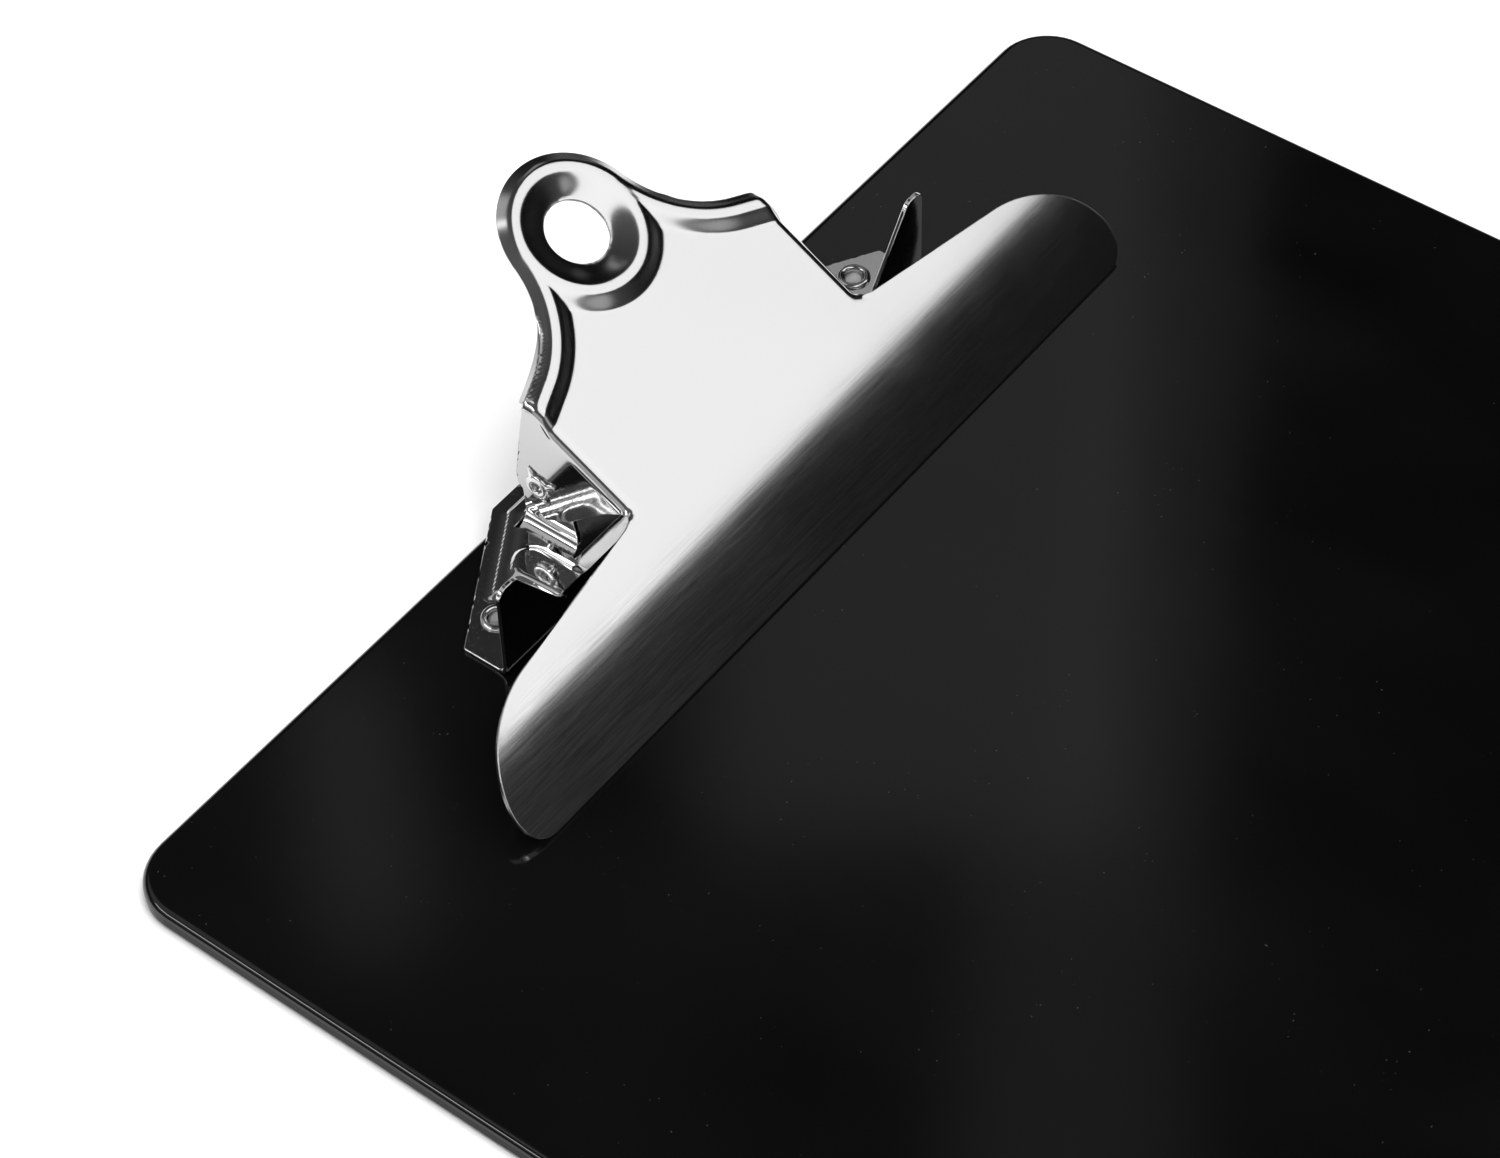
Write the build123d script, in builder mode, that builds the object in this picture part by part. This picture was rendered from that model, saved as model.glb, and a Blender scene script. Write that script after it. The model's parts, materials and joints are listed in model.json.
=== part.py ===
"""Letter-size clipboard with a sprung steel clip.

Origin: centre of the board's back face. +X to the right, +Y towards the clip, +Z out of the
writing face. Millimetres.
"""

from build123d import *
import math
import os

os.makedirs("parts", exist_ok=True)

# Board
BOARD_WIDTH = 228.6
BOARD_LENGTH = 317.5
BOARD_THICKNESS = 3.2
BOARD_CORNER_RADIUS = 9.5
BOARD_FRONT_ROUNDING = 1.4
BOARD_BACK_ROUNDING = 0.8

TOP_EDGE = BOARD_LENGTH / 2
FRONT = BOARD_THICKNESS

# Sheet metal
SHEET = 0.8
REST_GAP = 0.05

# Lever: a flat neck that slopes up towards the hang ring and rolls down into the jaw
LEVER_SLOPE = 29.8
SHOULDER_Y = TOP_EDGE - 26.4
SHOULDER_Z = FRONT + 17.5
NECK_HALF_WIDTH = 28.4
NECK_LENGTH = 23.0
SHOULDER_FILLET = 2.5
RING_RISE = 36.5
RING_RADIUS = 13.0
RING_CREST_RADIUS = 10.0
DISH_RADIUS = 8.6
DISH_DEPTH = 1.4
COLLAR_LENGTH = 1.0
CREST_HALF_WIDTH = 1.6
HANG_HOLE_RADIUS = 5.25
CREST_HEIGHT = 1.2
FLARE_RADIUS = 19.0
FLARE_CENTRE_X = 31.5
FLARE_END_ANGLE = 23.0
LIP_DEPTH = 1.6
LIP_REACH = 14.0
JAW_HALF_WIDTH = 75.3
JAW_CORNER_START = 58.0
JAW_SHOULDER_DROP = 0.5
JAW_TOP_DROP = 4.7
JAW_EDGE_ROUNDING = 4.0
JAW_FLAT = 0.4
JAW_BEND_RADIUS = 58.0
JAW_BEND_ANGLE = 24.6
FLANGE_BEND = 1.8
CHANNEL_START = 0.6
CHANNEL_DEPTH = 28.0
FLANGE_TIP_ROUNDING = 1.5
# Lower corners of the side flanges, from the pivot: front, front foot, rear foot, rear
FLANGE_CORNERS = [(-5.4, -4.6), (-0.6, -7.1), (3.6, -5.0), (5.0, 1.4)]
FLANGE_TOP = (2.0, 19.0)
FLANGE_FRONT_MARGIN = 2.0

# Hinge
PIVOT_Y = TOP_EDGE - 8.5
PIVOT_Z = FRONT + 12.7
PIN_RADIUS = 1.5
PIN_RUNNING_GAP = 0.05
PIN_SEAT_GAP = 0.01
PIN_HEAD_RADIUS = 2.1
PIN_HEAD_LENGTH = 0.6
PIN_END_BORE_RADIUS = 0.9
PIN_END_BORE_DEPTH = 2.5
SIDE_GAP = 0.1

# Base plate
BASE_HALF_WIDTH = 52.2
BASE_FRONT_Y = TOP_EDGE - 21.0
BASE_SIDE_TOP_Y = TOP_EDGE - 12.6
BASE_REAR_Y = TOP_EDGE + 1.9
BASE_REAR_HALF_WIDTH = 28.2
PLATEAU_FRONT_Y = TOP_EDGE - 18.7
PLATEAU_HALF_WIDTH = 37.6
PLATEAU_RISE = 1.5
PLATEAU_RIM = 3.0
PLATEAU_RUN_ON = 8.0
PLATEAU_WALL_TAPER = 35.0
EAR_FRONT_Y = TOP_EDGE - 15.5
EAR_REAR_Y = TOP_EDGE - 4.6
EAR_TOP_RADIUS = 4.4
STOP_INNER_X = 37.9
STOP_HEIGHT = 18.6
STOP_TOP_WIDTH = 3.8
STOP_KNEE = 4.0
STOP_ROUNDING = 1.7

# Eyelets
EYELET_X = 44.6
EYELET_Y = TOP_EDGE - 13.0
EYELET_PAD_REAR = 3.6
EYELET_PAD_FRONT = 0.4
EYELET_BORE_RADIUS = 1.8
EYELET_SHANK_RADIUS = 2.2
EYELET_HOLE_RADIUS = 2.25
EYELET_HEAD_RADIUS = 2.9
EYELET_HEAD_HEIGHT = 0.6
EYELET_RECESS_RADIUS = 4.0
EYELET_RECESS_DEPTH = 1.0
EYELET_FOOT_RADIUS = 3.4
EYELET_FOOT_HEIGHT = 0.6

# Torsion spring
WIRE_RADIUS = 1.0
COIL_RADIUS = 5.0
COIL_PITCH = 2.2
COIL_FULL_TURNS = 5
SPRING_BASE_LEG = 12.7
SPRING_BASE_LEG_DROP = 31.1
SPRING_LEVER_LEG = 13.8
SPRING_LEVER_LEG_RISE = 55.2


def radians(angle):
    return math.radians(angle)


# Reference planes
board_front = Plane.XY.offset(FRONT)
lever_top = Plane(
    origin=(0, SHOULDER_Y, SHOULDER_Z),
    x_dir=(1, 0, 0),
    z_dir=(0, -math.sin(radians(LEVER_SLOPE)), math.cos(radians(LEVER_SLOPE))),
)
ring_top = Plane(
    origin=lever_top.from_local_coords((0, RING_RISE, 0)), x_dir=(1, 0, 0), z_dir=lever_top.z_dir
)

# ---------------------------------------------------------------- board
with BuildPart() as board:
    with BuildSketch(Plane.XY):
        RectangleRounded(BOARD_WIDTH, BOARD_LENGTH, BOARD_CORNER_RADIUS)
    extrude(amount=BOARD_THICKNESS)
    fillet(board.faces().sort_by(Axis.Z)[-1].edges(), BOARD_FRONT_ROUNDING)
    fillet(board.faces().sort_by(Axis.Z)[0].edges(), BOARD_BACK_ROUNDING)
    with BuildSketch(Plane.XY):
        with Locations((-EYELET_X, EYELET_Y), (EYELET_X, EYELET_Y)):
            Circle(EYELET_HOLE_RADIUS)
    extrude(amount=BOARD_THICKNESS, mode=Mode.SUBTRACT)
    with BuildSketch(Plane.XY):
        with Locations((-EYELET_X, EYELET_Y), (EYELET_X, EYELET_Y)):
            Circle(EYELET_RECESS_RADIUS)
    extrude(amount=EYELET_RECESS_DEPTH, mode=Mode.SUBTRACT)

# ---------------------------------------------------------------- clip lever
# Jaw edge in lever-plane coordinates, so that the outline ends on it
jaw_end_angle = LEVER_SLOPE + JAW_BEND_ANGLE
bend_start_y = SHOULDER_Y - JAW_FLAT * math.cos(radians(LEVER_SLOPE))
bend_start_z = SHOULDER_Z - JAW_FLAT * math.sin(radians(LEVER_SLOPE))
bend_end_y = bend_start_y - JAW_BEND_RADIUS * (
    math.sin(radians(jaw_end_angle)) - math.sin(radians(LEVER_SLOPE))
)
bend_end_z = bend_start_z - JAW_BEND_RADIUS * (
    math.cos(radians(LEVER_SLOPE)) - math.cos(radians(jaw_end_angle))
)
jaw_tail = (bend_end_z - FRONT - REST_GAP) / math.sin(radians(jaw_end_angle))
jaw_edge_y = bend_end_y - jaw_tail * math.cos(radians(jaw_end_angle))
jaw_edge_v = lever_top.to_local_coords(Vector(0, jaw_edge_y, FRONT + REST_GAP)).Y
flare_centre_v = RING_RISE + math.sqrt((RING_RADIUS + FLARE_RADIUS) ** 2 - FLARE_CENTRE_X**2)


def lever_outline(neck_half_width, ring_radius, flare_radius):
    """Closed outline of the lever in its own plane, right half drawn and then mirrored."""
    reach = math.hypot(FLARE_CENTRE_X, flare_centre_v - RING_RISE)
    ring_meets_flare = (
        FLARE_CENTRE_X * ring_radius / reach,
        RING_RISE + (flare_centre_v - RING_RISE) * ring_radius / reach,
    )
    flare_end = (
        FLARE_CENTRE_X - flare_radius * math.sin(radians(FLARE_END_ANGLE)),
        flare_centre_v - flare_radius * math.cos(radians(FLARE_END_ANGLE)),
    )
    flare_mid_angle = (
        radians(FLARE_END_ANGLE) + math.atan2(FLARE_CENTRE_X, flare_centre_v - RING_RISE)
    ) / 2
    flare_middle = (
        FLARE_CENTRE_X - flare_radius * math.sin(flare_mid_angle),
        flare_centre_v - flare_radius * math.cos(flare_mid_angle),
    )
    neck_top = flare_end[1] - (neck_half_width - flare_end[0]) * math.tan(radians(FLARE_END_ANGLE))
    edge_slope = (JAW_TOP_DROP - JAW_SHOULDER_DROP) / (JAW_CORNER_START - neck_half_width)
    corner_control = JAW_TOP_DROP + edge_slope * (JAW_HALF_WIDTH - JAW_CORNER_START)
    ring_side_angle = math.atan2(ring_meets_flare[1] - RING_RISE, ring_meets_flare[0])
    ring_middle_angle = (ring_side_angle + math.pi / 2) / 2
    ring_middle = (
        ring_radius * math.cos(ring_middle_angle),
        RING_RISE + ring_radius * math.sin(ring_middle_angle),
    )
    with BuildLine() as outline:
        ThreePointArc((0, RING_RISE + ring_radius), ring_middle, ring_meets_flare)
        ThreePointArc(ring_meets_flare, flare_middle, flare_end)
        Polyline(
            flare_end,
            (neck_half_width, neck_top),
            (neck_half_width, -JAW_SHOULDER_DROP),
            (JAW_CORNER_START, -JAW_TOP_DROP),
        )
        Bezier(
            (JAW_CORNER_START, -JAW_TOP_DROP),
            (JAW_HALF_WIDTH, -corner_control),
            (JAW_HALF_WIDTH, jaw_edge_v),
            weights=[1, math.sqrt(0.5), 1],
        )
        Line((JAW_HALF_WIDTH, jaw_edge_v), (0, jaw_edge_v))
        mirror(about=Plane.YZ)
    return outline.line


neck_section = Plane(
    origin=lever_top.from_local_coords((0, CHANNEL_START, 0)), x_dir=(1, 0, 0), z_dir=lever_top.y_dir
)
with BuildPart() as neck_channel:
    with BuildSketch(neck_section):
        with Locations((0, CHANNEL_DEPTH / 2)):
            Rectangle(2 * NECK_HALF_WIDTH, CHANNEL_DEPTH)
        fillet(vertices().group_by(Axis.Y)[0], FLANGE_BEND)
        with Locations((0, SHEET + CHANNEL_DEPTH / 2)):
            RectangleRounded(
                2 * (NECK_HALF_WIDTH - SHEET),
                CHANNEL_DEPTH,
                FLANGE_BEND - SHEET,
                mode=Mode.SUBTRACT,
            )
        with Locations((0, CHANNEL_DEPTH)):
            Rectangle(2 * NECK_HALF_WIDTH, 2 * FLANGE_BEND, mode=Mode.SUBTRACT)
    extrude(amount=NECK_LENGTH - CHANNEL_START)
    with BuildSketch(Plane.YZ):
        with BuildLine():
            Polyline(
                (SHOULDER_Y - FLANGE_FRONT_MARGIN, SHOULDER_Z + FLANGE_FRONT_MARGIN),
                (SHOULDER_Y - FLANGE_FRONT_MARGIN, SHOULDER_Z - FLANGE_FRONT_MARGIN),
                *[(PIVOT_Y + y, PIVOT_Z + z) for y, z in FLANGE_CORNERS],
                (PIVOT_Y + FLANGE_TOP[0], PIVOT_Z + FLANGE_TOP[1]),
                close=True,
            )
        make_face()
        fillet(vertices().sort_by(Axis.Y)[:3], FLANGE_TIP_ROUNDING)
    extrude(amount=NECK_HALF_WIDTH + SHEET, both=True, mode=Mode.INTERSECT)

with BuildPart() as clip_lever:
    # Bent sheet, full width, cut off level just above the board
    with BuildSketch(Plane.YZ):
        with BuildLine():
            ring_tip = lever_top.from_local_coords((0, RING_RISE + RING_RADIUS + SHEET, 0))
            neck_line = Line((ring_tip.Y, ring_tip.Z), (bend_start_y, bend_start_z))
            roll = JernArc(
                start=neck_line @ 1,
                tangent=neck_line % 1,
                radius=JAW_BEND_RADIUS,
                arc_size=JAW_BEND_ANGLE,
            )
            Line(roll @ 1, roll @ 1 + (roll % 1) * jaw_tail)
            offset(amount=SHEET, side=Side.LEFT)
        make_face()
    extrude(amount=JAW_HALF_WIDTH + SHEET, both=True)
    split(bisect_by=board_front.offset(REST_GAP), keep=Keep.TOP)

    # Blanked to the outline, with rounded jaw ends and shoulders
    with BuildSketch(lever_top):
        with BuildLine():
            add(lever_outline(NECK_HALF_WIDTH - FLANGE_BEND, RING_RADIUS, FLARE_RADIUS))
        make_face()
        fillet(
            [v for v in vertices() if abs(v.X) > JAW_HALF_WIDTH - 1],
            JAW_EDGE_ROUNDING,
        )
        fillet(
            [v for v in vertices() if abs(v.X) < NECK_HALF_WIDTH and abs(v.Y) < 1],
            SHOULDER_FILLET,
        )
    extrude(amount=JAW_HALF_WIDTH, both=True, mode=Mode.INTERSECT)

    # Turned-down lip round the ring and the flares
    with BuildSketch(lever_top):
        with BuildLine():
            add(lever_outline(NECK_HALF_WIDTH, RING_RADIUS, FLARE_RADIUS))
        make_face()
        with BuildLine():
            add(lever_outline(NECK_HALF_WIDTH - SHEET, RING_RADIUS - SHEET, FLARE_RADIUS + SHEET))
        make_face(mode=Mode.SUBTRACT)
        with Locations((0, RING_RISE)):
            Rectangle(2 * NECK_HALF_WIDTH, 2 * LIP_REACH, mode=Mode.INTERSECT)
    extrude(amount=-LIP_DEPTH)

    # Dished ring round the hang hole, with a raised crest
    crest_foot = RING_CREST_RADIUS + CREST_HALF_WIDTH
    collar_end = -DISH_DEPTH - COLLAR_LENGTH
    with BuildSketch(ring_top):
        Circle(RING_CREST_RADIUS)
    extrude(amount=-SHEET, mode=Mode.SUBTRACT)
    with BuildSketch(Plane(origin=ring_top.origin, x_dir=(1, 0, 0), z_dir=-ring_top.y_dir)):
        with BuildLine():
            Spline(
                (crest_foot, 0),
                (RING_CREST_RADIUS, CREST_HEIGHT),
                (DISH_RADIUS, CREST_HEIGHT / 3),
                (HANG_HOLE_RADIUS, -DISH_DEPTH),
                tangents=[(-1, 0), (0, -1)],
            )
            Polyline(
                (HANG_HOLE_RADIUS, -DISH_DEPTH),
                (HANG_HOLE_RADIUS, collar_end),
                (HANG_HOLE_RADIUS + SHEET, collar_end),
                (HANG_HOLE_RADIUS + SHEET, -DISH_DEPTH),
            )
            Spline(
                (HANG_HOLE_RADIUS + SHEET, -DISH_DEPTH),
                (DISH_RADIUS, CREST_HEIGHT / 3 - SHEET * 1.25),
                (RING_CREST_RADIUS, CREST_HEIGHT - SHEET),
                (crest_foot, -SHEET),
                tangents=[(0, 1), (1, 0)],
            )
            Line((crest_foot, -SHEET), (crest_foot, 0))
        make_face()
    revolve(axis=Axis(ring_top.origin, ring_top.z_dir), revolution_arc=360)

    # Side flanges, bent down with the neck into one channel
    add(neck_channel.part)
    # Pin holes
    with BuildSketch(Plane.YZ):
        with Locations((PIVOT_Y, PIVOT_Z)):
            Circle(PIN_RADIUS + PIN_RUNNING_GAP)
    extrude(amount=JAW_HALF_WIDTH, both=True, mode=Mode.SUBTRACT)

# ---------------------------------------------------------------- base plate
def plateau_outline(inset):
    """Raised middle of the base plate, run on past the plate's free front edge."""
    side = math.atan2(BASE_REAR_Y - BASE_SIDE_TOP_Y, BASE_HALF_WIDTH - BASE_REAR_HALF_WIDTH)
    rim = PLATEAU_RIM + inset
    rear_y = BASE_REAR_Y - rim
    half_width = PLATEAU_HALF_WIDTH - inset

    def edge_x(y):
        """Half width of the slanted side, set in by the rim, at a given y."""
        along = (y - BASE_SIDE_TOP_Y + rim / math.cos(side)) / math.tan(side)
        return BASE_HALF_WIDTH - along

    pad_y = EYELET_Y + EYELET_PAD_REAR - inset
    with BuildLine() as outline:
        Polyline(
            (half_width, PLATEAU_FRONT_Y - PLATEAU_RUN_ON),
            (half_width, EYELET_Y - EYELET_PAD_FRONT),
            (edge_x(pad_y), pad_y),
            (edge_x(rear_y), rear_y),
            (0, rear_y),
        )
        mirror(about=Plane.YZ)
        Line(
            (-half_width, PLATEAU_FRONT_Y - PLATEAU_RUN_ON),
            (half_width, PLATEAU_FRONT_Y - PLATEAU_RUN_ON),
        )
    return outline.line


base_top = SHEET + PLATEAU_RISE
ear_inner_x = NECK_HALF_WIDTH - 2 * SHEET - SIDE_GAP
with BuildPart() as base_plate:
    # Raised plateau, hollow underneath
    with BuildSketch(board_front):
        with BuildLine():
            add(plateau_outline(0))
        make_face()
    extrude(amount=base_top, taper=PLATEAU_WALL_TAPER)
    with BuildSketch(board_front):
        with BuildLine():
            add(plateau_outline(SHEET))
        make_face()
    extrude(amount=PLATEAU_RISE, taper=PLATEAU_WALL_TAPER, mode=Mode.SUBTRACT)
    # Flat sheet round it
    with BuildSketch(board_front):
        with BuildLine():
            Polyline(
                (BASE_HALF_WIDTH, BASE_FRONT_Y),
                (BASE_HALF_WIDTH, BASE_SIDE_TOP_Y),
                (BASE_REAR_HALF_WIDTH, BASE_REAR_Y),
                (0, BASE_REAR_Y),
            )
            mirror(about=Plane.YZ)
            Line((-BASE_HALF_WIDTH, BASE_FRONT_Y), (BASE_HALF_WIDTH, BASE_FRONT_Y))
        make_face()
        with BuildLine():
            add(plateau_outline(SHEET))
        make_face(mode=Mode.SUBTRACT)
    extrude(amount=SHEET)
    # Front of the plateau cut free
    with BuildSketch(board_front):
        with Locations((0, PLATEAU_FRONT_Y - PLATEAU_RUN_ON)):
            Rectangle(2 * PLATEAU_HALF_WIDTH, 2 * PLATEAU_RUN_ON)
    extrude(amount=base_top, mode=Mode.SUBTRACT)
    # Window left by the ears
    with BuildSketch(board_front):
        with Locations((0, (EAR_FRONT_Y + EAR_REAR_Y) / 2)):
            Rectangle(2 * ear_inner_x, EAR_REAR_Y - EAR_FRONT_Y)
    extrude(amount=base_top, mode=Mode.SUBTRACT)
    # Ears that carry the pin
    with BuildSketch(Plane.YZ.offset(ear_inner_x)):
        with Locations((PIVOT_Y, PIVOT_Z)):
            Circle(EAR_TOP_RADIUS)
        with BuildLine():
            Polyline(
                (EAR_FRONT_Y, FRONT + PLATEAU_RISE),
                (EAR_REAR_Y, FRONT + PLATEAU_RISE),
                (PIVOT_Y + EAR_TOP_RADIUS, PIVOT_Z),
                (PIVOT_Y - EAR_TOP_RADIUS, PIVOT_Z),
                close=True,
            )
        make_face()
    ear = extrude(amount=SHEET)
    mirror(ear, about=Plane.YZ)
    # Paper stops folded up from the front edge
    with BuildSketch(Plane.XZ.offset(-BASE_FRONT_Y)):
        with BuildLine():
            Polyline(
                (STOP_INNER_X, FRONT),
                (STOP_INNER_X, FRONT + STOP_KNEE),
                (BASE_HALF_WIDTH - STOP_TOP_WIDTH, FRONT + STOP_HEIGHT),
                (BASE_HALF_WIDTH, FRONT + STOP_HEIGHT),
                (BASE_HALF_WIDTH, FRONT),
                close=True,
            )
        make_face()
        fillet(vertices().group_by(Axis.Y)[-1], STOP_ROUNDING)
    stop = extrude(amount=-SHEET)
    mirror(stop, about=Plane.YZ)
    # Pin holes and eyelet holes
    with BuildSketch(Plane.YZ):
        with Locations((PIVOT_Y, PIVOT_Z)):
            Circle(PIN_RADIUS + PIN_SEAT_GAP)
    extrude(amount=BASE_HALF_WIDTH, both=True, mode=Mode.SUBTRACT)
    with BuildSketch(board_front):
        with Locations((-EYELET_X, EYELET_Y), (EYELET_X, EYELET_Y)):
            Circle(EYELET_HOLE_RADIUS)
    extrude(amount=SHEET, mode=Mode.SUBTRACT)

# ---------------------------------------------------------------- pivot pin
pin_head_start = NECK_HALF_WIDTH + SIDE_GAP
pin_half_length = pin_head_start + PIN_HEAD_LENGTH
with BuildPart() as pivot_pin:
    with BuildSketch(Plane.YZ):
        with Locations((PIVOT_Y, PIVOT_Z)):
            Circle(PIN_RADIUS)
    extrude(amount=pin_half_length, both=True)
    with BuildSketch(Plane.YZ.offset(pin_head_start)):
        with Locations((PIVOT_Y, PIVOT_Z)):
            Circle(PIN_HEAD_RADIUS)
    head = extrude(amount=PIN_HEAD_LENGTH)
    mirror(head, about=Plane.YZ)
    fillet(pivot_pin.faces().sort_by(Axis.X)[-1].edges(), PIN_HEAD_LENGTH / 2)
    fillet(pivot_pin.faces().sort_by(Axis.X)[0].edges(), PIN_HEAD_LENGTH / 2)
    with BuildSketch(Plane.YZ.offset(pin_half_length)):
        with Locations((PIVOT_Y, PIVOT_Z)):
            Circle(PIN_END_BORE_RADIUS)
    end_bore = extrude(amount=-PIN_END_BORE_DEPTH, mode=Mode.SUBTRACT)
    mirror(end_bore, about=Plane.YZ, mode=Mode.SUBTRACT)

# ---------------------------------------------------------------- eyelets
with BuildPart() as eyelets:
    with BuildSketch(Plane.XZ.offset(-EYELET_Y)):
        with BuildLine():
            head_top = FRONT + SHEET + EYELET_HEAD_HEIGHT
            foot_top = EYELET_RECESS_DEPTH
            foot_bottom = EYELET_RECESS_DEPTH - EYELET_FOOT_HEIGHT
            inner = EYELET_X + EYELET_BORE_RADIUS
            shank = EYELET_X + EYELET_SHANK_RADIUS
            Polyline(
                (inner, foot_bottom),
                (inner, head_top),
                (EYELET_X + EYELET_HEAD_RADIUS, head_top),
                (EYELET_X + EYELET_HEAD_RADIUS, FRONT + SHEET),
                (shank, FRONT + SHEET),
                (shank, foot_top),
                (EYELET_X + EYELET_FOOT_RADIUS, foot_top),
                (EYELET_X + EYELET_FOOT_RADIUS, foot_bottom),
                close=True,
            )
        make_face()
    eyelet = revolve(axis=Axis((EYELET_X, EYELET_Y, 0), (0, 0, 1)))
    fillet(
        eyelets.edges()
        .filter_by(GeomType.CIRCLE)
        .filter_by(lambda e: abs(e.center().Z - head_top) < 0.01),
        EYELET_HEAD_HEIGHT * 0.45,
    )
    fillet(
        eyelets.edges()
        .filter_by(GeomType.CIRCLE)
        .filter_by(lambda e: abs(e.center().Z - foot_bottom) < 0.01),
        EYELET_FOOT_HEIGHT * 0.4,
    )
    mirror(eyelets.part, about=Plane.YZ)

# ---------------------------------------------------------------- torsion spring
base_leg_angle = -90 - SPRING_BASE_LEG_DROP
lever_leg_angle = 90 + SPRING_LEVER_LEG_RISE
coil_turn = (base_leg_angle - lever_leg_angle) % 360 + 360 * COIL_FULL_TURNS
coil_length = COIL_PITCH * coil_turn / 360
coil_frame = Plane(
    origin=(-coil_length / 2, PIVOT_Y, PIVOT_Z),
    x_dir=(0, math.cos(radians(base_leg_angle)), math.sin(radians(base_leg_angle))),
    z_dir=(1, 0, 0),
)
coil = coil_frame.from_local_coords(
    Helix(pitch=COIL_PITCH, height=coil_length, radius=COIL_RADIUS, lefthand=True)
)
base_leg_tip = coil @ 0 - (coil % 0) * SPRING_BASE_LEG
lever_leg_tip = coil @ 1 + (coil % 1) * SPRING_LEVER_LEG
with BuildPart() as torsion_spring:
    with BuildLine() as spring_path:
        Line(base_leg_tip, coil @ 0)
        add(coil)
        Line(coil @ 1, lever_leg_tip)
    with BuildSketch(Plane(origin=base_leg_tip, z_dir=coil % 0)):
        Circle(WIRE_RADIUS)
    sweep(path=spring_path.wires()[0], is_frenet=True)

# ---------------------------------------------------------------- export
nodes = {
    "board": board,
    "clip_lever": clip_lever,
    "base_plate": base_plate,
    "pivot_pin": pivot_pin,
    "eyelets": eyelets,
    "torsion_spring": torsion_spring,
}
for name, node in nodes.items():
    node.part.label = name
    export_step(node.part, f"parts/{name}.step")
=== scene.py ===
"""Looks of the clipboard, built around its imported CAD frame.

Sizes are in millimetres and turned into metres when a mesh is made. Directions as in the CAD:
+X to the right, +Y towards the clip, +Z out of the writing face.
"""

import json
import math

import bpy
import numpy as np
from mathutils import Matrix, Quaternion, Vector
from mathutils.geometry import delaunay_2d_cdt
from mathutils.kdtree import KDTree


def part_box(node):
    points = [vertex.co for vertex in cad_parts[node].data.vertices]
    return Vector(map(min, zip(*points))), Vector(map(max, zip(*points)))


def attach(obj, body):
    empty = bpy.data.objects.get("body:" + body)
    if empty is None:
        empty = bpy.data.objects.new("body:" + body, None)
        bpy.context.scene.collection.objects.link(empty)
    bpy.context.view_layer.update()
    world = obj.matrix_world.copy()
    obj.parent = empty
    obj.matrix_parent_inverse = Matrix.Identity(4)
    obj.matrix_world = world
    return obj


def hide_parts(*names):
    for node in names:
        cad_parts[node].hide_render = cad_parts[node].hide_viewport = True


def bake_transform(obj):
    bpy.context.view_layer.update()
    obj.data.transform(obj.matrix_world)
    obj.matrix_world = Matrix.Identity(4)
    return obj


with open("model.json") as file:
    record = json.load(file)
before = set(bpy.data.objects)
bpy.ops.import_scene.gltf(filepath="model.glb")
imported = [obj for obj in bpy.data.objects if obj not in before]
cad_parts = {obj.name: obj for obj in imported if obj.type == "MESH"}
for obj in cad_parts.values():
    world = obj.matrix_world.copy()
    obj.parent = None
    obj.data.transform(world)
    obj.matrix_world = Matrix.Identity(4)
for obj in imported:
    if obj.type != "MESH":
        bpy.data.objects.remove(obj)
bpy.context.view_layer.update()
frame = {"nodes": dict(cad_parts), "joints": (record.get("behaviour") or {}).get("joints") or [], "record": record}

MM = 0.001
TAU = 2 * math.pi


# ---------------------------------------------------------------- places, from the frame
def box_corners(node_name):
    """The low and the high corner of a CAD node's box, in millimetres."""
    return [np.array(corner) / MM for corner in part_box(node_name)]


board_low, board_high = box_corners("board")
base_high = box_corners("base_plate")[1]
lever_high = box_corners("clip_lever")[1]
pin_high = box_corners("pivot_pin")[1]
eyelet_high = box_corners("eyelets")[1]
mounts = {mount["name"]: mount for mount in frame["record"]["mounts"]}
hinge = frame["joints"][0]

TOP_EDGE = board_high[1]
FRONT = board_high[2]
PIVOT_Y, PIVOT_Z = np.array(hinge["pos_m"][1:]) / MM

# Thickness of the sheet steel that lever and base plate are pressed from
SHEET = 0.8

# ---------------------------------------------------------------- shape of the lever
# u runs to the side and v up the slope, both from the middle of the shoulder line
SLOPE = math.atan2(-mounts["hang_hole"]["axis"][1], mounts["hang_hole"]["axis"][2])
SHOULDER = np.array([0.0, TOP_EDGE - 26.4, FRONT + 17.5])
UP_SLOPE = np.array([0.0, math.cos(SLOPE), math.sin(SLOPE)])
OUTWARD = np.array([0.0, -math.sin(SLOPE), math.cos(SLOPE)])
HANG_HOLE_RADIUS = mounts["hang_hole"]["dims"]["r_mm"]
NECK_HALF_WIDTH = 28.4
RING = np.array([0.0, 36.5])
RING_RADIUS = 13.0
FLARE = np.array([31.5, 42.13])
FLARE_RADIUS = 19.0
FLARE_END = math.radians(23.0)

# The border of ring and flares: a slope (lip) that falls away from a crest
RING_LIP = 2.4
RING_FALL = 1.3
RING_CREST = 1.2
FLARE_LIP = 2.15
FLARE_FALL = 1.0
FLARE_CREST = 1.05
BORDER_FOOT = 15.0
CREST_FOOT = 8.0
# Where one thing turns into another: along the border from where ring and flare meet ...
LIP_BLEND = (-8.0, 12.0)
SKIRT_BEND_GROWS = (6.0, 10.0)
SKIRT_GROWS = (9.0, 19.0)
# ... in from the flare's edge, out from the middle of the ring, and up the slope
FLARE_CREST_WALL = (3.2, 5.7)
RING_CREST_WALL = (10.8, 13.6)
DISH_WALL = (5.4, 9.6)
FLANGE_STARTS = (-0.5, 1.6)
DISH_DEPTH = 0.5
EMBOSSING_SOFTNESS = 0.25

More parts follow.
